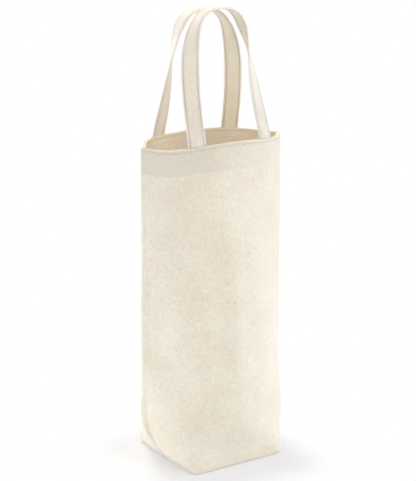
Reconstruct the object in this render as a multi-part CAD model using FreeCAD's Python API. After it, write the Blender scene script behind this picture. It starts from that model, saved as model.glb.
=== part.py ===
import FreeCAD, Part
import math
import os

# Bottle carrier: a tall cotton canvas bag with a boxed base and two carrying straps.
# Millimetres. The origin is the middle of the base on the surface it stands on,
# +Z is up, the front panel faces -Y and the side seams lie at -X and +X.

V = FreeCAD.Vector

# Bag body
bag_height = 334.0
rim_dip = 4.0
base_length = 113.5
base_depth = 108.5
mouth_width = 166.0
mouth_depth = 86.0
knee_height = 56.0
corner_fullness = 36.0
wall_fullness = 3.3
canvas_thickness = 1.0

# Facing band inside the mouth
facing_depth = 26.0
facing_thickness = 0.7
rim_allowance_depth = 9.0

# Sewn allowances inside the bag
seam_allowance = 10.0
base_seam_length = 84.0

# Carrying straps
strap_width = 18.0
strap_thickness = 1.8
strap_end_depth = 24.0
strap_spacing = 83.0
strap_rise = 125.0
leg_fullness = 5.0
leg_taper = 0.21
arch_fullness = 3.0
apex_gap = 9.0
twist_ease = 0.7

# Sewing thread
thread_width = 0.6
thread_height = 0.3
rim_row_drop = 3.0
tack_row_drop = 9.0
strap_row_margin = 2.2

# Clearances
layer_gap = 0.05
thread_gap = 0.1
seam_gap = 0.02
hinge_gap = 0.5
hinge_clearance = 0.5
seam_clearance = 0.3

# Places worked out from the sizes above
top_band = facing_depth + 2 * rim_dip
facing_outset = canvas_thickness + strap_thickness + 2 * layer_gap
facing_inset = facing_outset + facing_thickness
strap_inset = canvas_thickness + layer_gap + strap_thickness / 2
seam_foot = 2 * canvas_thickness + seam_clearance

WALL_STEPS = 28
CORNER_CROWDING = 0.75
MEASURE_STEPS = 600
KNEE_STEPS = 4
STRAP_STEPS = 32


def ease(t):
    """Quarter sine from 0 to 1, level at its end, held at 1 past it."""
    return math.sin(math.pi / 2 * min(max(t, 0.0), 1.0))


def bag_section(z):
    """Half width, half depth and fullness of the bag's outline at height z."""
    height = min(z, bag_height - top_band)
    climb = height / (bag_height - top_band)
    spread = ease(height / knee_height)
    half_width = base_length / 2 + (mouth_width - base_length) / 2 * spread
    half_depth = base_depth / 2 + (mouth_depth - base_depth) / 2 * climb
    softness = 1 / corner_fullness + (1 / wall_fullness - 1 / corner_fullness) * spread ** 1.5
    return half_width, half_depth, 1 / softness


def inset_section(z, inset):
    """The outline at height z, moved inwards by the inset."""
    half_width, half_depth, fullness = bag_section(z)
    slope = fullness * half_depth / half_width
    tip = inset * math.sqrt(1 + 1 / slope ** 2)
    return half_width - tip, half_depth - inset, fullness


def wall_point(z, share, inset):
    """Point of the front wall; share runs from -1 at the left seam to 1 at the right seam."""
    half_width, half_depth, fullness = inset_section(z, inset)
    depth = half_depth * (1 - abs(share) ** fullness)
    return V(half_width * share, -depth - seam_gap / 2, z)


def wall_slope(x):
    """Slope of the front wall's outline at the mouth, at width x."""
    half_width, half_depth, fullness = bag_section(bag_height)
    steep = half_depth * fullness / half_width * (abs(x) / half_width) ** (fullness - 1)
    return math.copysign(steep, x)


def places_along(point_at, start, end, shares):
    """Places from start to end that lie at the given shares of the line that point_at gives."""
    places = [start + (end - start) * i / MEASURE_STEPS for i in range(MEASURE_STEPS + 1)]
    points = [point_at(place) for place in places]
    lengths = [0.0]
    for near, far in zip(points, points[1:]):
        lengths.append(lengths[-1] + near.distanceToPoint(far))
    found = [start]
    i = 0
    for share in shares[1:-1]:
        while lengths[i + 1] < lengths[-1] * share:
            i += 1
        within = (lengths[-1] * share - lengths[i]) / (lengths[i + 1] - lengths[i])
        found.append(places[i] + (places[i + 1] - places[i]) * within)
    return found + [end]


def wall_bends(z):
    """Shares of the width where the wall's outline bends, crowded where the base has its corners."""
    turns = [4 * math.pi * i / WALL_STEPS for i in range(WALL_STEPS + 1)]
    shares = [(turn + CORNER_CROWDING * math.sin(turn)) / turns[-1] for turn in turns]

    def point_at(angle):
        return wall_point(z, math.sin(angle), 0)

    return [math.sin(angle) for angle in places_along(point_at, -math.pi / 2, math.pi / 2, shares)]


def rim_height(x):
    """Height of the curved rim at width x."""
    return bag_height - rim_dip * (2 * x / mouth_width) ** 2


def loft_along(outlines):
    """Solid that joins closed outlines in turn, corner to corner."""
    rings = [Part.makePolygon(corners + corners[:1]) for corners in outlines]
    faces = [Part.Face(rings[0]), Part.Face(rings[-1])]
    for near, far in zip(rings, rings[1:]):
        faces += [Part.makeRuledSurface(a, b) for a, b in zip(near.Edges, far.Edges)]
    shell = Part.makeShell(faces)
    shell.sewShape()
    solid = Part.Solid(shell)
    solid.fix(0, 0, 0)
    return solid


def mouth_layer(top_drop, bottom_drop, outset, inset, start=-1.0, end=1.0):
    """Layer of the mouth between two insets and two depths below the curved rim."""
    margin = canvas_thickness / mouth_width
    bends = [bend for bend in wall_bends(bag_height) if start + margin < bend < end - margin]
    outlines = []
    for share in [start] + bends + [end]:
        rim = rim_height(share * mouth_width / 2)
        outer = [wall_point(rim - drop, share, outset) for drop in (top_drop, bottom_drop)]
        inner = [wall_point(rim - drop, share, inset) for drop in (bottom_drop, top_drop)]
        outlines.append(outer + inner)
    return loft_along(outlines)


def to_back(shape):
    """The same piece on the back of the bag, half a turn round."""
    turned = shape.copy()
    turned.rotate(V(0, 0, 0), V(0, 0, 1), 180)
    return turned


def knee_heights():
    """Heights of the sections of the boxed foot, from the base up to the knee."""
    return [knee_height * i / KNEE_STEPS for i in range(KNEE_STEPS + 1)]


def make_panel():
    """Front panel: one skin of canvas from the base to the rim."""
    heights = knee_heights() + [bag_height - top_band, bag_height]
    outlines = []
    for shares in zip(*[wall_bends(z) for z in heights]):
        levels = heights[:-1] + [rim_height(shares[-1] * mouth_width / 2)]
        places = list(zip(levels, shares))
        outer = [wall_point(z, share, 0) for z, share in places]
        inner = [wall_point(z, share, canvas_thickness) for z, share in places[::-1]]
        outlines.append(outer + inner)
    return loft_along(outlines)


def make_base():
    """Base: one layer of canvas inside the foot of the panels."""
    inset = canvas_thickness + layer_gap
    front = [wall_point(0, share, inset) for share in wall_bends(0)]
    back = [V(-point.x, -point.y, 0) for point in front]
    return Part.Face(Part.makePolygon(front + back + front[:1])).extrude(V(0, 0, canvas_thickness))


def make_facing():
    """Facing: the band of canvas that lines the mouth."""
    return mouth_layer(0, facing_depth, facing_outset, facing_inset)


def strap_end_shares(side):
    """Start and end of a strap's sewn end along the wall, as shares of its width."""
    half_width = bag_section(bag_height)[0]
    centre = side * strap_spacing / 2
    reach = strap_width / 2 / math.sqrt(1 + wall_slope(centre) ** 2)
    return (centre - reach) / half_width, (centre + reach) / half_width


def make_strap_end(side):
    """End of a strap, sewn between the panel and the facing."""
    start, end = strap_end_shares(side)
    outset = canvas_thickness + layer_gap
    inset = outset + strap_thickness
    return mouth_layer(0, strap_end_depth, outset, inset, start, end)


def make_rim_allowance():
    """Turned-in edges of panel and facing, which fill the rim between the strap ends."""
    half_width = bag_section(bag_height)[0]
    margin = layer_gap / half_width
    left_start, left_end = strap_end_shares(-1)
    right_start, right_end = strap_end_shares(1)
    spans = [(-1.0, left_start - margin), (left_end + margin, right_start - margin),
             (right_end + margin, 1.0)]
    outset = canvas_thickness + layer_gap
    inset = outset + strap_thickness
    pieces = [mouth_layer(0, rim_allowance_depth, outset, inset, a, b) for a, b in spans]
    return Part.makeCompound(pieces)


def make_side_seam():
    """Right side seam: both panels' allowances, side by side, standing into the bag."""
    top = bag_height - rim_dip - facing_depth - seam_clearance
    foot = canvas_thickness + seam_foot + seam_clearance
    reach = canvas_thickness

    def outline(z):
        half_width, half_depth, fullness = inset_section(z, canvas_thickness + layer_gap)
        x = half_width * (1 - reach / half_depth) ** (1 / fullness)
        return [V(x - seam_allowance, -reach, z), V(x, -reach, z),
                V(x, reach, z), V(x - seam_allowance, reach, z)]

    heights = [foot] + [z for z in knee_heights() if z > foot] + [top]
    return loft_along([outline(z) for z in heights])


def make_base_seam():
    """Right boxed-corner seam: its allowance lies flat on the base along the side edge."""
    edge = inset_section(0, canvas_thickness + layer_gap)[0]
    step = canvas_thickness + seam_clearance
    x = edge * (1 - base_seam_length / base_depth) ** (1 / corner_fullness) - step - seam_allowance
    plate = Part.makeBox(seam_allowance, base_seam_length, 2 * canvas_thickness,
                         V(x, -base_seam_length / 2, canvas_thickness + layer_gap))
    return plate


def make_thread_row(drop, start, end):
    """A row of sewing at the mouth: one thread on the panel and one on the facing."""
    top = drop - thread_width / 2
    bottom = drop + thread_width / 2
    out_near = -thread_gap
    in_near = facing_inset + thread_gap
    outer = mouth_layer(top, bottom, out_near - thread_height, out_near, start, end)
    inner = mouth_layer(top, bottom, in_near, in_near + thread_height, start, end)
    return [outer, inner]


def make_rim_thread():
    """The row that runs round the rim of one panel, from seam to seam."""
    reach = 1 - seam_allowance / mouth_width
    return Part.makeCompound(make_thread_row(rim_row_drop, -reach, reach))


def make_tack_thread():
    """The short rows that hold both ends of one strap."""
    rows = []
    for side in (-1, 1):
        rows += make_thread_row(tack_row_drop, *strap_end_shares(side))
    return Part.makeCompound(rows)


def strap_inner_edge():
    """Width at which a strap's inner edge meets the rim."""
    return strap_end_shares(1)[0] * bag_section(bag_height)[0]


def strap_centre(angle):
    """Point on the middle line of the front strap, from its left end at 0 to its right end at pi."""
    half_width, half_depth, fullness = inset_section(bag_height, strap_inset)
    foot_x = strap_spacing / 2
    foot_y = -half_depth * (1 - (foot_x / half_width) ** fullness)
    lean = -foot_y - strap_width / 2 - apex_gap / 2
    climb = math.sin(angle) ** (2 / leg_fullness)
    across = math.copysign(abs(math.cos(angle)) ** (2 / arch_fullness), -math.cos(angle))
    spread = foot_x * (1 - leg_taper * climb)
    foot_z = rim_height(strap_inner_edge()) + hinge_gap
    return V(spread * across, foot_y + lean * climb * (2 - climb), foot_z + strap_rise * climb)


def strap_frames():
    """Middle point, width direction and outward direction at even steps along the front strap."""
    shares = [i / STRAP_STEPS for i in range(STRAP_STEPS + 1)]
    angles = places_along(strap_centre, 0.0, math.pi, shares)
    points = [strap_centre(angle) for angle in angles]
    start = math.atan(wall_slope(strap_spacing / 2))
    frames = []
    for i, (point, share) in enumerate(zip(points, shares)):
        turn = share - twist_ease * math.sin(2 * math.pi * share) / (2 * math.pi)
        angle = start + (math.pi - 2 * start) * turn
        across = V(math.cos(angle), -math.sin(angle), 0)
        along = V(0, 0, 1 if i == 0 else -1)
        if 0 < i < STRAP_STEPS:
            along = (points[i + 1] - points[i - 1]).normalize()
        across = (across - along * across.dot(along)).normalize()
        frames.append((point, across, across.cross(along)))
    return frames


def strap_loft(near, far, low, high):
    """Solid that follows the strap between two places across it and two heights off its middle."""
    corners = ((near, low), (far, low), (far, high), (near, high))
    return loft_along([[centre + across * a + outward * b for a, b in corners]
                       for centre, across, outward in strap_frames()])


def make_strap():
    """Free length of a strap: it leaves the rim flat, turns and arches over."""
    return strap_loft(-strap_width / 2, strap_width / 2, -strap_thickness / 2, strap_thickness / 2)


def make_strap_threads():
    """The rows of sewing along both edges of a strap, on both of its faces."""
    middle = strap_width / 2 - strap_row_margin
    low = strap_thickness / 2 + thread_gap
    rows = []
    for edge in (-middle, middle):
        near = edge - thread_width / 2
        far = edge + thread_width / 2
        rows.append(strap_loft(near, far, low, low + thread_height))
        rows.append(strap_loft(near, far, -low - thread_height, -low))
    return Part.makeCompound(rows)


def hinge_line():
    """Where a strap folds over the rim: just outside the panel at the strap's inner edge."""
    half_width, half_depth, fullness = bag_section(bag_height)
    outermost = half_depth * (1 - (strap_inner_edge() / half_width) ** fullness)
    outside = outermost + thread_gap + thread_height + hinge_clearance
    return -outside, rim_height(strap_inner_edge())


def build():
    """Every piece of the carrier by name."""
    parts = {"front_panel": make_panel(), "base_panel": make_base(),
             "front_facing": make_facing(), "front_rim_allowance": make_rim_allowance(),
             "front_rim_thread": make_rim_thread(), "front_strap_tacks": make_tack_thread(),
             "front_strap": make_strap(), "front_strap_thread": make_strap_threads(),
             "front_strap_left_end": make_strap_end(-1),
             "front_strap_right_end": make_strap_end(1),
             "right_side_seam": make_side_seam(), "right_base_seam": make_base_seam()}
    for name in [name for name in parts if name.startswith("front_strap_") and "_end" in name]:
        other = "right" if "left" in name else "left"
        parts["back_strap_%s_end" % other] = to_back(parts[name])
    for name in ("panel", "facing", "rim_allowance", "rim_thread", "strap_tacks", "strap",
                 "strap_thread"):
        parts["back_" + name] = to_back(parts["front_" + name])
    for name in ("side_seam", "base_seam"):
        parts["left_" + name] = to_back(parts["right_" + name])
    return parts


os.makedirs("parts", exist_ok=True)
for name, shape in build().items():
    shape.exportStep("parts/%s.step" % name)
    print(name, len(shape.Solids), shape.isValid(), round(shape.Volume, 1))
print("strap hinge line at y, z:", hinge_line())
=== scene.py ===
"""Canvas bottle carrier: the sewn cloth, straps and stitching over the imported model.

Sizes are in millimetres until a mesh is made, and every piece keeps the frame of the model.
The front half is worked out, and the back half is the front turned half round the upright axis.
"""

from __future__ import annotations

import logging
import math
from dataclasses import dataclass, field
from enum import Enum

import bpy
import numpy as np
from mathutils import Matrix, Vector


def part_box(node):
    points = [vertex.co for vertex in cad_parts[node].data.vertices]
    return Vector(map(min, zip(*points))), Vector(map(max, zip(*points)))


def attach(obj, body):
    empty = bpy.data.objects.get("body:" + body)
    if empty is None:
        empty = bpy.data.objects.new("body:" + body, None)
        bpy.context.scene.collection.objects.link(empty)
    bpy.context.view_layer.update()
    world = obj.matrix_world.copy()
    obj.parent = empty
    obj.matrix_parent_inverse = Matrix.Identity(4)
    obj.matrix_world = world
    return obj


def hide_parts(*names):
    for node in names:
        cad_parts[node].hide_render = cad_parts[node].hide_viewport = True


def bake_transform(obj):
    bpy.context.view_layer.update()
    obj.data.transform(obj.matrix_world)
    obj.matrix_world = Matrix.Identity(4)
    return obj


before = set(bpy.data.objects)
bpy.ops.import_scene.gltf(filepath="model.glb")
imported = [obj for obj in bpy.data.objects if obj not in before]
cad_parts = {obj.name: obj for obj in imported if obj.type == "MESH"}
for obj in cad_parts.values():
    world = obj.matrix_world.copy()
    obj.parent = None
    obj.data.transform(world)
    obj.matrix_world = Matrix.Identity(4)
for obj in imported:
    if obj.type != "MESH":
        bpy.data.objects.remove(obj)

MM = 0.001
LOG = logging.getLogger("bottle_carrier")
Array = np.ndarray
Line = tuple[tuple[float, float], ...]
Colour = tuple[float, float, float]
Piece = bpy.types.Object
Socket = bpy.types.NodeSocket
Sockets = bpy.types.bpy_prop_collection
Feeds = dict[int | str, object]


class Side(Enum):
    """Half of the bag that a piece belongs to."""

    FRONT = "front"
    BACK = "back"

    @property
    def turn(self) -> float:
        """1 for the front, -1 for the back, which is the front turned half round."""
        return self.pick(1.0, -1.0)

    def pick(self, front: float, back: float) -> float:
        """The one of two values that belongs to this half."""
        return front if self is Side.FRONT else back


class Mark(Enum):
    """What a point of the cloth carries for its finish to read."""

    # Painted shade on the doubled band below the rim, where less light comes through the cloth.
    PAINTED_BAND_SHADE = "painted_band_shade"
    # Painted shade along the rows of stitches, where the thread sinks into the cloth.
    STITCH_ROW_SHADE = "sewn"


def smooth(t: Array) -> Array:
    """Soft step from 0 below 0 to 1 above 1."""
    t = np.clip(t, 0.0, 1.0)
    return t * t * (3.0 - 2.0 * t)


def hump(distance: Array, width: float | Array) -> Array:
    """Bell of height 1 over a distance, as wide as stated."""
    return np.exp(-((distance / width) ** 2))


def stacked(*parts: Array) -> Array:
    """Points from their coordinates, each of which is spread over the whole grid."""
    return np.stack(np.broadcast_arrays(*parts), axis=-1)


def runs(points: Array) -> Array:
    """Length along a line of points, from 0 at its start."""
    steps = np.linalg.norm(np.diff(points, axis=0), axis=1)
    return np.concatenate([[0.0], np.cumsum(steps)])


@dataclass(frozen=True)
class Fold:
    """A soft ridge or valley in a panel, along a line of places across and up it."""

    line: Line
    lift: float
    left_width: float
    right_width: float
    fade: float = 30.0

    def height(self, x: Array, z: Array) -> Array:
        """How far the fold pushes the cloth out.

        Args:
            x: Places across the panel.
            z: Heights up the panel.

        Returns:
            The push at each place.
        """
        nearest = np.full(x.shape, np.inf)
        signed, along = np.zeros(x.shape), np.zeros(x.shape)
        total = 0.0
        for (x0, z0), (x1, z1) in zip(self.line, self.line[1:]):
            dx, dz = x1 - x0, z1 - z0
            length = math.hypot(dx, dz)
            t = np.clip(((x - x0) * dx + (z - z0) * dz) / length**2, 0.0, 1.0)
            off_x, off_z = x - x0 - t * dx, z - z0 - t * dz
            distance = np.hypot(off_x, off_z)
            closer = distance < nearest
            nearest = np.where(closer, distance, nearest)
            signed = np.where(closer, np.sign(dx * off_z - dz * off_x), signed)
            along = np.where(closer, total + t * length, along)
            total += length
        width = np.where(signed > 0, self.right_width, self.left_width)
        ends = smooth(along / self.fade) * smooth((total - along) / self.fade)
        return self.lift * hump(nearest, width) * ends


@dataclass(frozen=True)
class Crease:
    """A soft upright edge, where the bag was folded flat, with both flanks falling away."""

    line: Line
    lift: float
    reach: float
    softness: float = 5.0
    fade: float = 34.0

    def height(self, x: Array, z: Array) -> Array:
        """How far the crease pushes the cloth out.

        Args:
            x: Places across the panel.
            z: Heights up the panel.

        Returns:
            The push at each place.
        """
        across, heights = zip(*self.line)
        middle = np.interp(z, heights, across)
        away = np.sqrt((x - middle) ** 2 + self.softness**2) / self.reach
        ends = smooth((z - heights[0]) / self.fade) * smooth((heights[-1] - z) / self.fade)
        return self.lift * np.clip(1 - away, 0.0, 1.0) ** 1.5 * ends


@dataclass(frozen=True)
class BagShape:
    """The soft sleeve that every layer of the bag follows."""

    height: float
    mouth_width: float
    base_length: float
    base_depth: float
    folds: dict[Side, tuple[Fold | Crease, ...]]
    mouth_depth: float = 86.0
    knee: float = 56.0
    corner_fullness: float = 36.0
    wall_fullness: float = 3.3
    band: float = 34.0
    rim_dip: float = 4.0
    seam_gap: float = 0.02
    corner_pinch: float = 0.45
    broad_slack: float = 0.35
    fine_slack: float = 0.14
    pucker: float = 0.42

    def section(self, z: Array) -> tuple[Array, Array, Array]:
        """Half width, half depth and fullness of the bag at a height.

        Args:
            z: Heights above the floor.

        Returns:
            The three values at each height.
        """
        top = self.height - self.band
        level = np.clip(z, 0.0, top)
        spread = np.sin(math.pi / 2 * np.clip(level / self.knee, 0.0, 1.0))
        half_width = (self.base_length + (self.mouth_width - self.base_length) * spread) / 2
        half_depth = (self.base_depth + (self.mouth_depth - self.base_depth) * level / top) / 2
        slack = 1 / self.wall_fullness - 1 / self.corner_fullness
        return half_width, half_depth, 1 / (1 / self.corner_fullness + slack * spread**1.5)

    def rim_sag(self, side: Side, x: Array, z: Array) -> Array:
        """How far the cloth near the mouth hangs below a level rim.

        Args:
            side: Half of the bag.
            x: Places across the panel.
            z: Heights up the panel.

        Returns:
            The drop at each place.
        """
        dip = self.rim_dip * (2 * x / self.mouth_width) ** 2
        if side is Side.FRONT:
            off_seam = smooth((self.mouth_width / 2 - np.abs(x)) / 14.0)
            dip = dip + 2.5 * hump(x + 66.0, 21.0) * off_seam - 0.5 * hump(x - 10.0, 30.0)
        else:
            dip = dip + 0.8 * hump(x - 30.0, 25.0)
        return dip * smooth((z - self.height + 150.0) / 112.0)

    def drape(self, side: Side, x: Array, z: Array, from_seam: Array) -> Array:
        """Folds and slackness of a panel, held down at its base, rim and seams.

        Args:
            side: Half of the bag.
            x: Places across the panel.
            z: Heights up the panel.
            from_seam: Distance of each place from the nearer side seam.

        Returns:
            The push outwards at each place.
        """
        lift = np.zeros(np.broadcast(x, z).shape)
        for fold in self.folds[side]:
            lift = lift + fold.height(x + 0.0 * z, z + 0.0 * x)
        drift = side.pick(0.0, 2.1)
        broad = np.sin(x / 19.0 + z / 47.0 + drift) * np.sin(z / 31.0 - x / 53.0)
        fine = np.sin(x / 7.3 - z / 11.0 + drift) * np.sin(z / 8.7 + x / 15.0)
        lift = lift + self.broad_slack * broad + self.fine_slack * fine
        rest = smooth((z - 4.0) / 30.0) * smooth((self.height - 4.0 - z) / 40.0)
        return lift * (0.15 + 0.85 * rest) * (0.1 + 0.9 * smooth(from_seam / 9.0))

    def seam_relief(self, z: Array, from_seam: Array, seam: Array) -> Array:
        """Puckers, ridge, groove and fullness that a side seam gives the cloth beside it.

        Args:
            z: Heights up the panel.
            from_seam: Distance of each place from the nearer side seam.
            seam: -1 where that is the left seam, 1 where it is the right.

        Returns:
            The push outwards at each place.
        """
        wave = np.sin(z / 4.1 + seam) + 0.8 * np.sin(z / 6.7 + 2.0 * seam)
        wave = wave * (0.6 + 0.4 * np.sin(z / 29.0 + seam)) * smooth((z - 30.0) / 40.0)
        lift = self.pucker * wave * np.exp(-from_seam / 8.0) * smooth(from_seam / 5.0)
        low = smooth((84.0 - z) / 26.0) * smooth((z + 4.0) / 8.0)
        ridge = hump(from_seam - 2.0, 1.3) - 0.3 * hump(from_seam - 5.4, 1.8)
        lift = lift + (0.35 + 1.25 * low) * ridge - (0.5 + 0.35 * low) * hump(from_seam, 0.9)
        left = 1.0 * (seam < 0)
        full = 1.7 * (1 - left) * smooth((z - 16.0) / 60.0)
        drawn = 1.2 * left * smooth((z - 150.0) / 60.0)
        return lift + (full - drawn) * hump(from_seam, 26.0)

    def relief(self, side: Side, x: Array, z: Array) -> Array:
        """Folds, puckers and slackness that lift the cloth off the plain sleeve.

        Args:
            side: Half of the bag.
            x: Places across the panel.
            z: Heights up the panel.

        Returns:
            The push outwards at each place.
        """
        half_width, half_depth, fullness = self.section(z)
        reach = np.clip(np.abs(x) / half_width, 0.0, 1.0)
        from_seam = np.hypot(half_width * (1 - reach), half_depth * (1 - reach**fullness))
        seam = np.sign(x) * side.turn
        lift = self.drape(side, x, z, from_seam) + self.seam_relief(z, from_seam, seam)
        roll = 0.5 * hump(z - 8.0, 7.0) - 0.5 * hump(z - 30.0, 13.0)
        lift = lift + smooth((60.0 - z) / 20.0) * roll * smooth(from_seam / 14.0)
        left = 1.0 * (seam < 0)
        corner = hump(from_seam - half_depth + 3.0, 6.5) * smooth((44.0 - z) / 36.0)
        flank = hump(from_seam - 24.0, 17.0) * hump(z - 36.0, 27.0) * smooth(z / 14.0)
        return lift + side.pick(4.0, 0.0) * (1 - left) * flank + side.pick(0.6, 2.6) * left * corner

    def place(self, side: Side, share: Array, z: Array, inset: Array) -> Array:
        """Points on a layer of the bag.

        Args:
            side: Half of the bag.
            share: Place across the half, from -1 at its left seam to 1 at its right.
            z: Height up the cloth.
            inset: Depth of the layer below the outer skin.

        Returns:
            The points, with a last axis of three.
        """
        half_width, half_depth, fullness = self.section(z)
        depth = inset - self.relief(side, half_width * share, z)
        slope = fullness * half_depth / half_width
        half_width = half_width - depth * np.sqrt(1 + 1 / slope**2)
        half_depth = half_depth - depth
        x = half_width * share
        near_rim = smooth((z - self.height + 60.0) / 60.0)
        pinch = self.corner_pinch * hump(1 - np.abs(share), 0.12) * near_rim
        y = -half_depth * (1 - np.abs(share) ** fullness) * (1 - pinch) - self.seam_gap / 2
        return stacked(x * side.turn, y * side.turn, z - self.rim_sag(side, x, z) + 0.0 * x)

    @staticmethod
    def spread(count: int) -> Array:
        """Places along the cloth from 0 to 1, which lie closer together near the seams."""
        even = np.linspace(0.0, 1.0, count)
        return 0.32 * even + 0.34 * (1 - np.cos(math.pi * even))

    @staticmethod
    def steps(half_width: float, half_depth: float, fullness: float) -> tuple[Array, Array]:
        """Cloth across one panel in fine steps.

        Args:
            half_width: Half width of the bag there.
            half_depth: Half depth of the bag there.
            fullness: Fullness of the section there.

        Returns:
            Fine shares across the panel, and the length of cloth from each to the next.
        """
        fine = np.sin(np.linspace(-math.pi / 2, math.pi / 2, 801))
        y = half_depth * (1 - np.abs(fine) ** fullness)
        return fine, np.hypot(np.diff(fine * half_width), np.diff(y))

    def shares(self, z: Array, count: int) -> Array:
        """Places across the panel that follow the same spread along the cloth in every row.

        Args:
            z: Height of each row.
            count: Number of places in a row.

        Returns:
            One row of shares for each height.
        """
        rows = []
        for section in zip(*self.section(z)):
            fine, steps = self.steps(*section)
            run = np.concatenate([[0.0], np.cumsum(steps)])
            rows.append(np.interp(self.spread(count) * run[-1], run, fine))
        return np.array(rows)

    def girth(self, z: float) -> float:
        """Length of cloth across one panel at a height."""
        return float(self.steps(*(float(v) for v in self.section(np.array(z))))[1].sum())


class NodeSketch:
    """Short ways to add and join nodes in one tree."""

    def __init__(self, tree: bpy.types.NodeTree) -> None:
        """Keep the tree that the nodes go in."""
        self.tree = tree

    def feed(self, inputs: Sockets, feeds: Feeds) -> None:
        """Join outputs to inputs, or set the inputs to plain values.

        Args:
            inputs: Inputs of a node.
            feeds: Outputs or plain values by number or name of the input.
        """
        for label, value in feeds.items():
            if isinstance(value, Socket):
                self.tree.links.new(value, inputs[label])
            else:
                inputs[label].default_value = value

    def add(self, kind: str, feeds: Feeds | None = None, **options: object) -> bpy.types.Node:
        """Add a node, set its options and feed its inputs.

        Args:
            kind: Node type.
            feeds: Outputs or plain values by number or name of the input.
            options: Options of the node by name.

        Returns:
            The node.
        """
        node = self.tree.nodes.new(kind)
        for name, value in options.items():
            setattr(node, name, value)
        self.feed(node.inputs, feeds or {})
        return node

    def out(self, kind: str, feeds: Feeds | None = None, **options: object) -> Socket:
        """First output of a new node."""
        return self.add(kind, feeds, **options).outputs[0]

    def group(self, tree: bpy.types.NodeTree, **feeds: object) -> Sockets:
        """Outputs of a shared group of nodes, with its inputs fed by name."""
        return self.add("ShaderNodeGroup", feeds, node_tree=tree).outputs

    def math(self, operation: str, *values: object) -> Socket:
        """One step of arithmetic on numbers or outputs."""
        return self.out("ShaderNodeMath", dict(enumerate(values)), operation=operation)

    def fused(self, value: object, factor: object, extra: object) -> Socket:
        """A value times a factor, plus something extra."""
        return self.math("MULTIPLY_ADD", value, factor, extra)

    def vector(self, operation: str, *values: object, **named: object) -> Socket:
        """One step of arithmetic on vectors."""
        feeds = {**dict(enumerate(values)), **named}
        return self.out("ShaderNodeVectorMath", feeds, operation=operation)

    def noise(self, vector: Socket, scale: float, detail: float = 2.0, output: int = 0) -> Socket:
        """Soft noise over a vector: a number between 0 and 1, or a colour from output 1."""
        feeds = {"Vector": vector, "Scale": scale, "Detail": detail}
        return self.add("ShaderNodeTexNoise", feeds).outputs[output]

    def centred(self, vector: Socket, scale: float, detail: float = 2.0) -> Socket:
        """Soft noise over a vector, round zero."""
        return self.math("SUBTRACT", self.noise(vector, scale, detail), 0.5)

    def mix(self, share: object, first: object, second: object) -> Socket:
        """Two colours mixed by a share."""
        feeds = {0: share, 6: first, 7: second}
        return self.add("ShaderNodeMix", feeds, data_type="RGBA").outputs[2]

    def ranged(self, value: object, *limits: float) -> Socket:
        """A number moved from one range to another, given as two lows and highs, and held in it."""
        return self.out("ShaderNodeMapRange", dict(enumerate((value, *limits))))

    def bump(self, height: Socket, strength: float, depth: float) -> Socket:
        """Way that a surface faces under a fine relief."""
        feeds = {"Strength": strength, "Distance": depth, "Height": height}
        return self.out("ShaderNodeBump", feeds)


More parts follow.
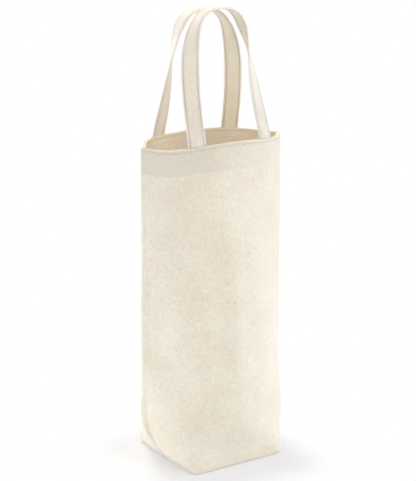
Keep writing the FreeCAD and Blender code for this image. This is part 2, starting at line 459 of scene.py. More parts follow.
class ClothEffects:
    """Node groups that every cloth and thread finish shares."""

    hidden_height = 0.35
    rib_width = 1.75
    slub_scales = ((820.0, 150.0, 1.0), (130.0, 780.0, 1.0))
    fleck_shake = (0.0008, 0.0008, 0.0)

    def __init__(self) -> None:
        """Build each group once."""
        self.weave = self.make_weave()
        self.flecks = self.make_flecks()
        self.drift = self.make_drift()

    @staticmethod
    def start_group(
        name: str, numbers: tuple[str, ...], outputs: tuple[str, ...]
    ) -> tuple[NodeSketch, Sockets, Sockets]:
        """Make an empty group that takes a place on the cloth and some numbers.

        Args:
            name: Name of the group.
            numbers: Names of the number inputs.
            outputs: Names of the number outputs.

        Returns:
            A sketch in the group, what the group takes in and what it puts out.
        """
        tree = bpy.data.node_groups.new(name, "ShaderNodeTree")
        tree.interface.new_socket("Cloth", in_out="INPUT", socket_type="NodeSocketVector")
        for way, labels in (("INPUT", numbers), ("OUTPUT", outputs)):
            for label in labels:
                tree.interface.new_socket(label, in_out=way, socket_type="NodeSocketFloat")
        sketch = NodeSketch(tree)
        return sketch, sketch.add("NodeGroupInput").outputs, sketch.add("NodeGroupOutput").inputs

    def make_weave(self) -> bpy.types.NodeTree:
        """Plain weave of warp over weft, with threads of uneven thickness.

        Returns:
            The group, which puts out the height of the cloth and the tone of its threads.
        """
        sketch, taken, put = self.start_group("plain weave", ("Pitch", "Rib"), ("Height", "Tone"))
        cloth = taken["Cloth"]
        split = sketch.add("ShaderNodeSeparateXYZ", {0: cloth}).outputs
        threads = [sketch.math("DIVIDE", split[axis], taken["Pitch"]) for axis in (0, 1)]
        waves = [sketch.math("SINE", sketch.math("MULTIPLY", t, math.pi)) for t in threads]
        warp, weft = (sketch.math("ABSOLUTE", wave) for wave in waves)
        turn = sketch.math("ADD", *(sketch.math("FLOOR", thread) for thread in threads))
        over = sketch.math("PINGPONG", turn, 1.0)
        under = sketch.math("SUBTRACT", 1.0, over)
        highs = [
            sketch.math("MULTIPLY", bow, sketch.fused(other, on_top, self.hidden_height))
            for bow, other, on_top in ((warp, weft, over), (weft, warp, under))
        ]
        height = sketch.math("MAXIMUM", *highs)
        stretched = [sketch.vector("MULTIPLY", cloth, scale) for scale in self.slub_scales]
        slub = sketch.math("ADD", *(sketch.centred(place, 1.0) for place in stretched))
        lag = sketch.math("SUBTRACT", threads[1], threads[0])
        slant = sketch.math("SINE", sketch.math("MULTIPLY", lag, math.pi / self.rib_width))
        rib = sketch.math("MULTIPLY", slant, taken["Rib"])
        relief = sketch.math("ADD", rib, sketch.fused(slub, 0.9, height))
        tone = sketch.fused(rib, 0.5, sketch.fused(height, 0.2, slub))
        sketch.feed(put, {"Height": relief, "Tone": tone})
        return sketch.tree

    def make_flecks(self) -> bpy.types.NodeTree:
        """Specks of seed husk that unbleached cotton keeps.

        Returns:
            The group, which puts out a mask of the specks.
        """
        sketch, taken, put = self.start_group("seed flecks", ("Spacing", "Share"), ("Mask",))
        shake = sketch.noise(taken["Cloth"], 900.0, output=1)
        moved = sketch.vector("MULTIPLY_ADD", shake, self.fleck_shake, taken["Cloth"])
        cells = sketch.vector("SCALE", moved, Scale=sketch.math("DIVIDE", 1.0, taken["Spacing"]))
        feeds = {"Vector": cells, "Scale": 1.0}
        spots = sketch.add("ShaderNodeTexVoronoi", feeds, voronoi_dimensions="2D").outputs
        chance = sketch.add("ShaderNodeSeparateColor", {0: spots["Color"]}).outputs
        near = sketch.math("LESS_THAN", spots["Distance"], sketch.fused(chance[1], 0.065, 0.025))
        chosen = sketch.math("LESS_THAN", chance[0], taken["Share"])
        strength = sketch.fused(chance[2], 0.55, 0.12)
        mask = sketch.math("MULTIPLY", sketch.math("MULTIPLY", near, chosen), strength)
        sketch.feed(put, {"Mask": mask})
        return sketch.tree

    def make_drift(self) -> bpy.types.NodeTree:
        """Slow change of tone over the cloth.

        Returns:
            The group, which puts out a number round zero.
        """
        sketch, taken, put = self.start_group("tone drift", (), ("Tone",))
        broad, fine = (sketch.centred(taken["Cloth"], *grain) for grain in ((24.0,), (260.0, 3.0)))
        sketch.feed(put, {"Tone": sketch.fused(fine, 0.8, broad)})
        return sketch.tree


@dataclass(frozen=True)
class Finish:
    """What all finishes of the carrier have in common."""

    name: str
    slot: str
    colour: Colour

    def start(self) -> tuple[bpy.types.Material, NodeSketch, Sockets]:
        """Make an empty material.

        Returns:
            The material, a sketch in its tree and the inputs of its shader.
        """
        material = bpy.data.materials.new(self.name)
        material.use_nodes = True
        shader = material.node_tree.nodes["Principled BSDF"]
        return material, NodeSketch(material.node_tree), shader.inputs

    def tinted(self, tint: Colour, brightest: float = 1.0) -> tuple[float, ...]:
        """The finish's colour multiplied by a tint, with full alpha."""
        return (*(min(c * k, brightest) for c, k in zip(self.colour, tint)), 1.0)


@dataclass(frozen=True)
class ClothFinish(Finish):
    """Unbleached cotton cloth with a plain weave."""

    dark: Colour = (0.855, 0.832, 0.79)
    light: Colour = (1.065, 1.08, 1.1)
    shade: Colour = (0.78, 0.78, 0.78)
    fleck: tuple[float, ...] = (0.42, 0.30, 0.17, 1.0)
    fleck_spacing: float = 0.0068
    fleck_share: float = 0.55
    weave_pitch: float = 0.0009
    weave_depth: float = 0.00028
    rib: float = 0.0
    roughness: float = 0.92
    sheen: float = 0.12
    bump: float = 0.34
    glow_weight: float = 0.35
    glow_depth: float = 0.0012
    glow_radius: Colour = (1.0, 0.82, 0.62)

    def make(self, effects: ClothEffects) -> bpy.types.Material:
        """Build the material.

        Args:
            effects: Shared node groups.

        Returns:
            The material.
        """
        material, sketch, shader = self.start()
        cloth = sketch.out("ShaderNodeUVMap", uv_map="cloth")
        weave = sketch.group(effects.weave, Cloth=cloth, Pitch=self.weave_pitch, Rib=self.rib)
        drift = sketch.group(effects.drift, Cloth=cloth)
        flecks = sketch.group(
            effects.flecks, Cloth=cloth, Spacing=self.fleck_spacing, Share=self.fleck_share
        )
        # The sewn mark carries painted shade along the stitch rows, which turns the cloth half way
        # towards the shade colour.
        painted_band_shade, sewn = (
            sketch.add("ShaderNodeAttribute", attribute_name=mark.value).outputs["Fac"]
            for mark in (Mark.PAINTED_BAND_SHADE, Mark.STITCH_ROW_SHADE)
        )
        thread_tone = sketch.ranged(weave["Tone"], -0.45, 0.65, 0.0, 1.0)
        tone = sketch.fused(drift["Tone"], 0.75, thread_tone)
        colour = sketch.mix(tone, self.tinted(self.dark), self.tinted(self.light, 0.97))
        # Painted shade: the doubled band at the mouth is turned part way towards the shade colour.
        shaded = sketch.fused(sewn, 0.5, sketch.math("MULTIPLY", painted_band_shade, 0.42))
        colour = sketch.mix(shaded, colour, self.tinted(self.shade))
        rough = (self.roughness + 0.05, self.roughness - 0.07)
        sketch.feed(shader, {
            "Base Color": sketch.mix(flecks["Mask"], colour, self.fleck),
            "Roughness": sketch.ranged(weave["Tone"], -0.5, 0.8, *rough),
            "Normal": sketch.bump(weave["Height"], self.bump, self.weave_depth),
            "Subsurface Weight": self.glow_weight,
            "Subsurface Radius": self.glow_radius,
            "Subsurface Scale": self.glow_depth,
            "Sheen Weight": self.sheen,
            "Sheen Roughness": 0.6,
            "Specular IOR Level": 0.18,
        })
        return material


@dataclass(frozen=True)
class ThreadFinish(Finish):
    """Sewing cotton, twisted from two plies."""

    dark: Colour = (0.82, 0.82, 0.82)
    light: Colour = (1.06, 1.06, 1.06)
    ply_pitch: float = 0.0011
    ply_depth: float = 0.00015
    roughness: float = 0.7
    sheen: float = 0.1
    bump: float = 0.4

    def make(self, effects: ClothEffects) -> bpy.types.Material:
        """Build the material.

        Args:
            effects: Shared node groups.

        Returns:
            The material.
        """
        material, sketch, shader = self.start()
        place = sketch.add("ShaderNodeTexCoord").outputs["Object"]
        drift = sketch.group(effects.drift, Cloth=place)
        feeds = {"Vector": place, "Scale": 0.31 / self.ply_pitch}
        ply = sketch.add("ShaderNodeTexWave", feeds, bands_direction="DIAGONAL").outputs["Fac"]
        tone = sketch.fused(drift["Tone"], 0.5, sketch.fused(ply, 0.3, 0.35))
        rough = (self.roughness + 0.1, self.roughness - 0.05)
        sketch.feed(shader, {
            "Base Color": sketch.mix(tone, self.tinted(self.dark), self.tinted(self.light, 0.95)),
            "Roughness": sketch.ranged(ply, 0.0, 1.0, *rough),
            "Normal": sketch.bump(ply, self.bump, self.ply_depth),
            "Sheen Weight": self.sheen,
        })
        return material


class Finishes:
    """The finishes of the carrier, made once."""

    canvas = ClothFinish("unbleached canvas", "canvas", (0.85, 0.80, 0.695))
    # The facing's colour is the canvas made brighter and warmer: painted warm light bounced about
    # inside the bag.
    facing = ClothFinish(
        "canvas facing", "facing", (0.98, 0.825, 0.645), weave_pitch=0.0008, glow_weight=0.0
    )
    strap = ClothFinish(
        "folded canvas strap", "strap", (0.845, 0.795, 0.722),
        fleck_share=0.45, rib=0.6, glow_weight=0.8, glow_depth=0.004,
    )
    thread = ThreadFinish("sewing cotton", "thread", (0.90, 0.865, 0.785))
    # Colour of the dark beads laid between stitches: painted shade of the needle holes.
    hole = ThreadFinish("needle hole shade", "thread", (0.27, 0.195, 0.12), roughness=0.9)

    def __init__(self) -> None:
        """Build the node groups and the materials."""
        effects = ClothEffects()
        finishes = (self.canvas, self.facing, self.strap, self.thread)
        self.made = {finish.slot: finish.make(effects) for finish in finishes}
        self.needle_hole_shade = self.hole.make(effects)

    def dress(self, piece: Piece, slot: str) -> None:
        """Give a piece the finish of a slot of the record."""
        piece.data.materials.clear()
        piece.data.materials.append(self.made[slot])


def put_in_scene(name: str, data: bpy.types.ID) -> bpy.types.Object:
    """Make an object of some data and link it to the scene."""
    made = bpy.data.objects.new(name, data)
    bpy.context.collection.objects.link(made)
    return made


class ClothMesh:
    """Points, faces and cloth places of one piece while it is built."""

    def __init__(self) -> None:
        """Start with nothing."""
        self.points: list[Array] = []
        self.faces: list[Array] = []
        self.cloth: list[Array] = []
        self.marks: dict[Mark, list[Array]] = {mark: [] for mark in Mark}
        self.count = 0

    def keep(self, points: Array, cloth: Array, marks: dict[Mark, Array]) -> Array:
        """Take in a grid of points.

        Args:
            points: Grid of points in millimetres.
            cloth: Place of each point on the flat cloth.
            marks: Marks of the points, where they have any.

        Returns:
            The numbers of the points, in the grid's shape.
        """
        grid = points.shape[:2]
        size = grid[0] * grid[1]
        numbers = np.arange(self.count, self.count + size).reshape(grid)
        self.points.append(points.reshape(-1, 3))
        self.cloth.append(np.broadcast_to(cloth, (*grid, 2)).reshape(-1, 2))
        for mark, kept in self.marks.items():
            kept.append(np.broadcast_to(marks.get(mark, 0.0), grid).reshape(-1))
        self.count += size
        return numbers

    def skin(self, *corners: Array) -> None:
        """Add four-cornered faces from four rows of numbers."""
        self.faces.append(np.stack(corners, axis=-1).reshape(-1, 4))

    def add_sheet(
        self, outer: Array, inner: Array, cloth: Array, marks: dict[Mark, Array] | None = None
    ) -> None:
        """Add a closed sheet between an outer and an inner grid of rows up and places across.

        Args:
            outer: Grid of the side that faces out, rows upwards, places to the right.
            inner: Grid of the other side, in the same order.
            cloth: Place of each point on the flat cloth.
            marks: Marks of the points of both sides.
        """
        o = self.keep(outer, cloth, marks or {})
        i = self.keep(inner, cloth, marks or {})
        self.skin(o[:-1, :-1], o[:-1, 1:], o[1:, 1:], o[1:, :-1])
        self.skin(i[:-1, :-1], i[1:, :-1], i[1:, 1:], i[:-1, 1:])
        self.skin(o[0, 1:], o[0, :-1], i[0, :-1], i[0, 1:])
        self.skin(o[-1, :-1], o[-1, 1:], i[-1, 1:], i[-1, :-1])
        self.skin(o[:-1, 0], o[1:, 0], i[1:, 0], i[:-1, 0])
        self.skin(o[1:, -1], o[:-1, -1], i[:-1, -1], i[1:, -1])

    def add_tube(self, rings: Array, cloth: Array, marks: dict[Mark, Array]) -> None:
        """Add a closed strip made of rings, with its two ends filled.

        Args:
            rings: Rings of points, one for each place along the strip.
            cloth: Place of each point on the flat cloth.
            marks: Marks of the points.
        """
        n = self.keep(rings, cloth, marks)
        after = np.roll(n, -1, axis=1)
        self.skin(n[:-1], after[:-1], after[1:], n[1:])
        half = n.shape[1] // 2
        for ring, order in ((n[0], -1), (n[-1], 1)):
            left, right = ring[:half], ring[::-1][:half]
            quads = (left[:-1], left[1:], right[1:], right[:-1])
            self.skin(*quads[::order])

    def make(self, name: str) -> Piece:
        """Turn what was collected into an object.

        Args:
            name: Name of the piece.

        Returns:
            The object, linked to the scene.
        """
        mesh = bpy.data.meshes.new(name)
        points, faces = np.concatenate(self.points) * MM, np.concatenate(self.faces)
        mesh.from_pydata(points.tolist(), [], faces.tolist())
        corners = np.empty(len(mesh.loops), dtype=np.int32)
        mesh.loops.foreach_get("vertex_index", corners)
        places = np.concatenate(self.cloth)[corners] * MM
        layer = mesh.uv_layers.new(name="cloth")
        layer.data.foreach_set("uv", places.astype(np.float32).ravel())
        for mark, kept in self.marks.items():
            attribute = mesh.attributes.new(mark.value, "FLOAT", "POINT")
            attribute.data.foreach_set("value", np.concatenate(kept).astype(np.float32))
        mesh.polygons.foreach_set("use_smooth", np.ones(len(mesh.polygons), dtype=bool))
        mesh.validate()
        mesh.update()
        return put_in_scene(name, mesh)


@dataclass
class StitchRow:
    """A row of sewing: places on the cloth and the way the cloth faces there."""

    points: Array
    outward: Array


@dataclass
class Stitcher:
    """Lays stitches along rows with a geometry node tree."""

    finishes: Finishes
    width: float = 0.78
    height: float = 0.46
    hole_sink: float = 0.14
    tree: bpy.types.NodeTree = field(init=False)
    sockets: dict[str, str] = field(init=False)

    def __post_init__(self) -> None:
        """Build the tree that every row uses."""
        self.tree = bpy.data.node_groups.new("stitches along a row", "GeometryNodeTree")
        self.sockets = self.name_sockets()
        sketch = NodeSketch(self.tree)
        taken, put = sketch.add("NodeGroupInput").outputs, sketch.add("NodeGroupOutput").inputs
        curve = sketch.out("GeometryNodeMeshToCurve", {0: taken["Geometry"]})
        feeds = {"Curve": curve, "Length": taken["Pitch"]}
        even = sketch.out("GeometryNodeResampleCurve", feeds, mode="LENGTH")
        tangent = sketch.out("GeometryNodeInputTangent")
        feeds = {"Name": "outward"}
        facing = sketch.add("GeometryNodeInputNamedAttribute", feeds, data_type="FLOAT_VECTOR")
        feeds = {0: tangent, 1: facing.outputs["Attribute"]}
        axes = {"primary_axis": "X", "secondary_axis": "Z"}
        turn = sketch.out("FunctionNodeAxesToRotation", feeds, **axes)
        step = sketch.vector("SCALE", tangent, Scale=sketch.math("MULTIPLY", taken["Pitch"], 0.5))
        between = sketch.out("GeometryNodeSetPosition", {"Geometry": even, "Offset": step})
        joined = sketch.add("GeometryNodeJoinGeometry")
        # The second pass lays dark beads between the stitches, sunk a little: painted shade of the
        # needle holes.
        for places, labels, finish, sink in (
            (even, ("Height", "Width", "Length"), "Thread", 0.0),
            (between, ("Height", "Hole", "Hole"), "Shade", self.hole_sink),
        ):
            feeds = {"Segments": 6, "Rings": 5, "Radius": 0.5}
            bead = sketch.out("GeometryNodeMeshUVSphere", feeds)
            feeds = {number: taken[label] for number, label in enumerate(labels)}
            size = sketch.out("ShaderNodeCombineXYZ", feeds)
            shaped = sketch.out("GeometryNodeTransform", {"Geometry": bead, "Scale": size})
            lie = {"Rotation": (0.0, math.pi / 2, 0.0), "Translation": (0.0, 0.0, -sink * MM)}
            laid = sketch.out("GeometryNodeTransform", {"Geometry": shaped, **lie})
            feeds = {"Points": places, "Instance": laid, "Rotation": turn}
            beads = sketch.out("GeometryNodeInstanceOnPoints", feeds)
            real = sketch.out("GeometryNodeRealizeInstances", {0: beads})
            feeds = {"Geometry": real, "Material": taken[finish]}
            sketch.feed(joined.inputs, {0: sketch.out("GeometryNodeSetMaterial", feeds)})
        soft = sketch.out("GeometryNodeSetShadeSmooth", {0: joined.outputs[0]})
        sketch.feed(put, {0: soft})

    def name_sockets(self) -> dict[str, str]:
        """Give the tree its inputs and its output.

        Returns:
            The identifier of each input that a row sets, by name.
        """
        face = self.tree.interface
        face.new_socket("Geometry", in_out="INPUT", socket_type="NodeSocketGeometry")
        kinds = dict.fromkeys(("Pitch", "Length", "Width", "Height", "Hole"), "NodeSocketFloat")
        kinds.update(dict.fromkeys(("Thread", "Shade"), "NodeSocketMaterial"))
        sockets = {
            label: face.new_socket(label, in_out="INPUT", socket_type=kind).identifier
            for label, kind in kinds.items()
        }
        face.new_socket("Geometry", in_out="OUTPUT", socket_type="NodeSocketGeometry")
        return sockets

    def sew(
        self, node: str, rows: list[StitchRow], pitch: float, hole: float = 0.7
    ) -> Piece:
        """Sew stitches along rows and make them one plain mesh.

        Args:
            node: Node that the stitches stand for.
            rows: The rows of sewing.
            pitch: Distance from stitch to stitch.
            hole: Width of the dark bead of painted shade laid where the needle hole is, between two
                stitches.

        Returns:
            The stitches.
        """
        name = node + "_stitches"
        guide = bpy.data.meshes.new(name + "_guide")
        edges, start = [], 0
        for row in rows:
            edges += [(start + i, start + i + 1) for i in range(len(row.points) - 1)]
            start += len(row.points)
        points = np.concatenate([row.points for row in rows]) * MM
        guide.from_pydata(points.tolist(), edges, [])
        way = guide.attributes.new("outward", "FLOAT_VECTOR", "POINT")
        outward = np.concatenate([row.outward for row in rows])
        way.data.foreach_set("vector", outward.astype(np.float32).ravel())
        line = put_in_scene(name + "_guide", guide)
        modifier = line.modifiers.new("stitches", "NODES")
        modifier.node_group = self.tree
        sizes = {
            "Pitch": pitch,
            "Length": pitch - 0.75 * hole,
            "Width": self.width,
            "Height": self.height,
            "Hole": hole,
        }
        for label, value in sizes.items():
            modifier[self.sockets[label]] = value * MM
        modifier[self.sockets["Thread"]] = self.finishes.made["thread"]
        modifier[self.sockets["Shade"]] = self.finishes.needle_hole_shade
        graph = bpy.context.evaluated_depsgraph_get()
        mesh = bpy.data.meshes.new_from_object(line.evaluated_get(graph))
        line.modifiers.remove(modifier)
        bpy.data.objects.remove(line)
        mesh.name = name
        piece = put_in_scene(name, mesh)
        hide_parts(node)
        return piece


@dataclass
class Workshop:
    """Shape, finishes and stitches that every piece is made with."""

    shape: BagShape
    finishes: Finishes
    stitcher: Stitcher

    def lay(self, mesh: ClothMesh, name: str, slot: str, node: str) -> Piece:
        """Make a piece of the bag, dress it and let it stand for its node.

        Args:
            mesh: What the piece is made of.
            name: Name of the piece.
            slot: Slot of the record for its finish.
            node: Node that it stands for.

        Returns:
            The piece.
        """
        piece = mesh.make(name)
        self.finishes.dress(piece, slot)
        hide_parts(node)
        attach(piece, "bag")
        return piece


@dataclass
class MouthPiece:
    """A piece of one half of the bag that reaches the rim and the strap's feet."""

    shop: Workshop
    side: Side
    feet: tuple[float, float]
    foot_reach: float = 10.5
    row_drop: float = 3.0
    columns: int = 117

    @property
    def shape(self) -> BagShape:
        """Shape of the bag."""
        return self.shop.shape

    def layer(self, share: Array, z: Array, inset: Array) -> Array:
        """Points on a layer of this half, by share, height and depth below the outer skin."""
        return self.shape.place(self.side, share, z, inset)

    def clear_of_feet(self, share: Array) -> Array:
        """1 where the rim is clear of the strap's feet, 0 where they lie."""
        gap = np.min([np.abs(share - foot) for foot in self.feet], axis=0)
        return smooth((gap * self.shape.mouth_width / 2 - self.foot_reach) / 3.0)

    def flat_places(self, offset: float, run: Array) -> Array:
        """Places on the flat cloth, moved sideways to another part of its weave."""
        across = (self.shape.spread(self.columns) - 0.5) * self.shape.girth(self.shape.height)
        return stacked(across[None, :] + offset, run[:, None])


@dataclass
class Panel(MouthPiece):
    """Front or back panel: one skin of canvas, rolled under at the base and over at the rim."""

    thickness: float = 1.0
    foot_radius: float = 2.4
    lip: float = 6.0
    roll_allowance: float = 4.0
    roll: float = 1.72
    rim_radius: float = 0.95
    row_step: float = 2.1
    lip_rows: int = 4
    foot_rows: int = 6
    rim_rows: int = 4
    rim_drops: tuple[float, ...] = (
        8.0, 6.6, 5.5, 4.7, 4.1, 3.7, 3.35, 3.0, 2.65, 2.3, 1.9, 1.5,
    )
    facing_drop: float = 26.6
    weave_starts: tuple[float, float] = (0.0, 400.0)

    def stations(self) -> Array:
        """Heights and depths of the outer and inner side, from the lip up to the rim.

        Returns:
            Outer height, outer depth, inner height and inner depth of each row.
        """
        radius, skin, top = self.foot_radius, self.thickness, self.shape.height
        rows = []
        for i in range(self.lip_rows):
            under = radius + self.lip * (1 - i / self.lip_rows)
            rows.append((0.0, under, skin, under))
        for i in range(self.foot_rows):
            turn = math.pi / 2 * i / self.foot_rows
            up, back = 1 - math.cos(turn), 1 - math.sin(turn)
            inner = radius - skin
            rows.append((radius * up, radius * back, skin + inner * up, skin + inner * back))
        straight = top - self.rim_drops[0]
        count = int((straight - radius) / self.row_step)
        heights = [*np.linspace(radius, straight, count + 1)]
        heights += [top - drop for drop in self.rim_drops[1:]]
        rows += [(z, 0.0, z, skin) for z in heights]
        for i in range(1, self.rim_rows + 1):
            turn = math.pi / 2 * i / self.rim_rows
            down, out = (self.rim_radius * (1 - part) for part in (math.sin(turn), math.cos(turn)))
            rows.append((top - down, out, top - 1.45 + 0.1 * i, skin))
        return np.array(rows)

    def make(self) -> Piece:
        """Build and dress the panel.

        Returns:
            The panel.
        """
        rows, top = self.stations(), self.shape.height
        share = self.shape.shares(rows[:, 0], self.columns)
        outer_z, outer_in, inner_z, inner_in = (rows[:, k : k + 1] + 0.0 * share for k in range(4))
        groove = 0.28 * hump(top - rows[:, :1] - self.row_drop, 0.7)
        outer = self.layer(share, outer_z, outer_in + groove)
        inner = self.layer(share, inner_z, inner_in)
        rim = share[-1]
        level = np.full_like(rim, top)
        skin = self.thickness
        reach = skin + 0.02 + (self.roll - skin) * self.clear_of_feet(rim)
        for part, drop in ((0.5, 0.04), (1.0, 0.22)):
            over = self.layer(
                rim, level - drop, self.rim_radius + (reach - self.rim_radius) * part
            )
            under = self.layer(rim, level - 1.05 + 0.1 * part, skin + (reach - skin) * part)
            outer, inner = np.concatenate([outer, over[None]]), np.concatenate([inner, under[None]])
        start, middle = self.side.pick(*self.weave_starts), self.columns // 2
        cloth = self.flat_places(start, runs(outer[:, middle]))
        shares = np.concatenate([share, [rim] * 2])
        drop = top - np.concatenate([rows[:, 0], [top] * 2])[:, None]
        # Painted shade over the doubled band below the rim: full at the left, fading out towards
        # the lit right.
        painted_band_shade = smooth((self.facing_drop - drop) / 1.2) * np.clip(0.55 - 0.85 * shares, 0.0, 1.0)
        # Painted shade along the row of stitches under the rim.
        sewn = hump(drop - self.row_drop, 0.75) + 0.0 * shares
        mesh = ClothMesh()
        mesh.add_sheet(outer, inner, cloth, {Mark.PAINTED_BAND_SHADE: painted_band_shade, Mark.STITCH_ROW_SHADE: sewn})
        name = self.side.value + "_panel"
        piece = self.shop.lay(mesh, name + "_cloth", "canvas", name)
        width, length = self.shape.girth(0.0), top + self.lip + self.roll_allowance
        area = (self.shape.girth(0.0) + self.shape.girth(top)) / 2 * length
        return piece


@dataclass
class Facing(MouthPiece):
    """Band of canvas that lines one half of the mouth, with the turned edges behind its rim."""

    depth: float = 26.0
    outset: float = 2.9
    inset: float = 3.6
    edge_depth: float = 9.0
    edge_outset: float = 1.06
    edge_inset: float = 2.84
    edge_half_gap: float = 0.03
    edge_end: float = 0.985
    fold_radius: float = 0.8
    weave_start: float = 1400.0
    edge_weave_start: float = 1800.0
    drops: tuple[float, ...] = (
        26.0, 25.6, 25.0, 23.0, 21.0, 19.0, 17.0, 15.0, 13.0, 11.0, 9.0, 7.5, 6.0, 5.0, 4.3, 3.8,
        3.4, 3.0, 2.6, 2.2, 1.8, 1.4, 1.0, 0.6, 0.35, 0.2, 0.12,
    )

    def make_band(self) -> Piece:
        """Build and dress the facing.

        Returns:
            The facing.
        """
        top, drops = self.shape.height, np.array(self.drops)
        rim = self.shape.shares(np.array([top]), self.columns)
        share = np.broadcast_to(rim, (len(drops), self.columns))
        drop = drops[:, None] + 0.0 * share
        groove = 0.22 * hump(drop - self.row_drop, 0.7)
        over = np.clip(self.fold_radius - drop, 0.0, self.fold_radius) / self.fold_radius
        round_in = 0.7 * (1 - np.sqrt(np.clip(1 - over**2, 0.0, 1.0)))
        wave = 0.45 * np.sin(share * 21.0 + 1.3) * smooth((drop - 12.0) / 14.0)
        inner = self.layer(share, top - drop, self.inset - groove - round_in + wave)
        outer = self.layer(share, top - np.maximum(drop, 1.1), self.outset + wave)
        reach = self.outset - 1.05 * self.clear_of_feet(rim)
        inner = np.concatenate([inner, self.layer(rim, top - 0.2 + 0.0 * rim, reach - 0.02)])
        outer = np.concatenate([outer, self.layer(rim, top - 1.0 + 0.0 * rim, reach - 0.01)])
        cloth = self.flat_places(self.weave_start, np.concatenate([-drops, [1.0]]))
        drop = np.concatenate([drop, np.zeros((1, self.columns))])
        mesh = ClothMesh()
        # Painted shade along the row of stitches under the rim.
        mesh.add_sheet(outer, inner, cloth, {Mark.STITCH_ROW_SHADE: hump(drop - self.row_drop, 0.75)})
        name = self.side.value + "_facing"
        piece = self.shop.lay(mesh, name + "_cloth", "facing", name)
        size = (self.shape.girth(top) * MM, (self.depth + 1.0) * MM)
        return piece

    def make_turned_edges(self) -> Piece:
        """Build and dress the turned-in edges between the strap ends.

        Returns:
            The turned edges.
        """
        half = (self.foot_reach - 1.2) / (self.shape.mouth_width / 2)
        left, right = self.feet
        middle = (self.edge_outset + self.edge_inset) / 2
        layers = (
            (self.edge_outset, middle - self.edge_half_gap),
            (middle + self.edge_half_gap, self.edge_inset),
        )
        mesh = ClothMesh()
        ends = (-self.edge_end, left - half, left + half, right - half, right + half, self.edge_end)
        for start, end in zip(ends[::2], ends[1::2]):
            share = np.linspace(start, end, max(6, int((end - start) * 50)))[None, :]
            drop = np.array([self.edge_depth, 6.0, 3.0, 1.6, 1.12])[:, None] + 0.0 * share
            fray = 0.35 * np.sin(share * 57.0) * smooth((drop - 5.0) / 4.0)
            level = self.shape.height - drop + fray
            cloth = stacked(share * 98.0 + self.edge_weave_start, -drop)
            for layer in layers:
                outer, inner = (
                    self.layer(share + 0.0 * drop, level, inset + 0.0 * drop) for inset in layer
                )
                mesh.add_sheet(outer, inner, cloth)
        name = self.side.value
        return self.shop.lay(mesh, name + "_turned_edges", "canvas", name + "_rim_allowance")


@dataclass
class Base:
    """Base of the bag: one skin of canvas laid inside the rolled foot of the panels."""

    shop: Workshop
    thickness: float = 1.0
    margin: float = 4.2
    rest: float = 1.06
    sag: float = 0.85
    weave_start: float = 900.0
    columns: int = 61
    rows: int = 41

    def make(self) -> Piece:
        """Build and dress the base.

        Returns:
            The base.
        """
        half_x = self.shop.shape.base_length / 2 - self.margin
        half_y = self.shop.shape.base_depth / 2 - self.margin
        x, y = np.meshgrid(
            half_x * np.linspace(-1.0, 1.0, self.columns),
            half_y * np.linspace(-1.0, 1.0, self.rows),
        )
        edge = np.minimum(half_x - np.abs(x), half_y - np.abs(y))
        wave = 0.8 + 0.2 * np.sin(x / 13.0) * np.sin(y / 17.0 + 0.7)
        low = self.rest - self.sag * smooth(edge / 16.0) * wave
        mesh = ClothMesh()
        upper, under = stacked(x, y, low + self.thickness), stacked(x, y, low)
        mesh.add_sheet(upper, under, stacked(x + self.weave_start, y))
        piece = self.shop.lay(mesh, "base_cloth", "canvas", "base_panel")
        return piece


@dataclass
class SeamAllowances:
    """Raw seam edges inside the bag: up both sides and across both ends of the base."""

    shop: Workshop
    width: float = 10.0
    skin: float = 0.85
    rows: int = 90
    weave_start: float = 2200.0
    base_weave_start: float = 2600.0

    def make_side(self, name: str, sign: float) -> Piece:
        """Build and dress the two allowances of one side seam.

        Args:
            name: Node that the piece stands for.
            sign: -1 for the left seam, 1 for the right.

        Returns:
            The allowances.
        """
        low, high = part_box(name)
        z = np.linspace(low.z / MM + 2.5, high.z / MM - 0.2, self.rows)[:, None]
        across = np.linspace(0.0, 1.0, 7)[None, :]
        half_width, half_depth, fullness = self.shop.shape.section(z)
        slope = fullness * half_depth / half_width
        tip = half_width - 2.0 * np.sqrt(1 + 1 / slope**2) - 0.6
        x = sign * (tip - self.width * across)
        cloth = stacked(across * self.width + self.weave_start, z)
        mesh = ClothMesh()
        for half in (-1.0, 1.0):
            lean = 0.05 + (0.75 + 0.5 * np.sin(z / 9.0 + half) + 0.3 * np.sin(z / 4.3)) * across**2
            near, far = stacked(x, half * lean, z), stacked(x, half * (lean + self.skin), z)
            outer, inner = (far, near) if half * sign < 0 else (near, far)
            mesh.add_sheet(outer[:, ::-1], inner[:, ::-1], cloth[:, ::-1])
        return self.shop.lay(mesh, name + "_cloth", "canvas", name)

    def make_base(self, name: str, sign: float) -> Piece:
        """Build and dress the allowance of one boxed corner.

        Args:
            name: Node that the piece stands for.
            sign: -1 for the left end of the base, 1 for the right.

        Returns:
            The allowance.
        """
        low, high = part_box(name)
        y = np.linspace(low.y / MM, high.y / MM, 43)[None, :]
        across = np.linspace(0.0, 1.0, 8)[:, None]
        edge = max(abs(low.x), abs(high.x)) / MM
        ripple = 0.5 * np.sin(y / 7.0 + sign) * across
        x = sign * (edge - 0.4 - (self.width + 0.6 * np.sin(y / 11.0)) * across)
        cloth = stacked(y + self.base_weave_start, across * self.width)
        mesh = ClothMesh()
        for layer in (0.0, 1.0):
            floor = 2.15 - 0.75 * across + layer * (self.skin + 0.08) + ripple * (0.3 + layer)
            upper, under = stacked(x, y, floor + self.skin), stacked(x, y, floor)
            outer, inner = (under, upper) if sign < 0 else (upper, under)
            mesh.add_sheet(outer, inner, cloth)
        return self.shop.lay(mesh, name + "_cloth", "canvas", name)


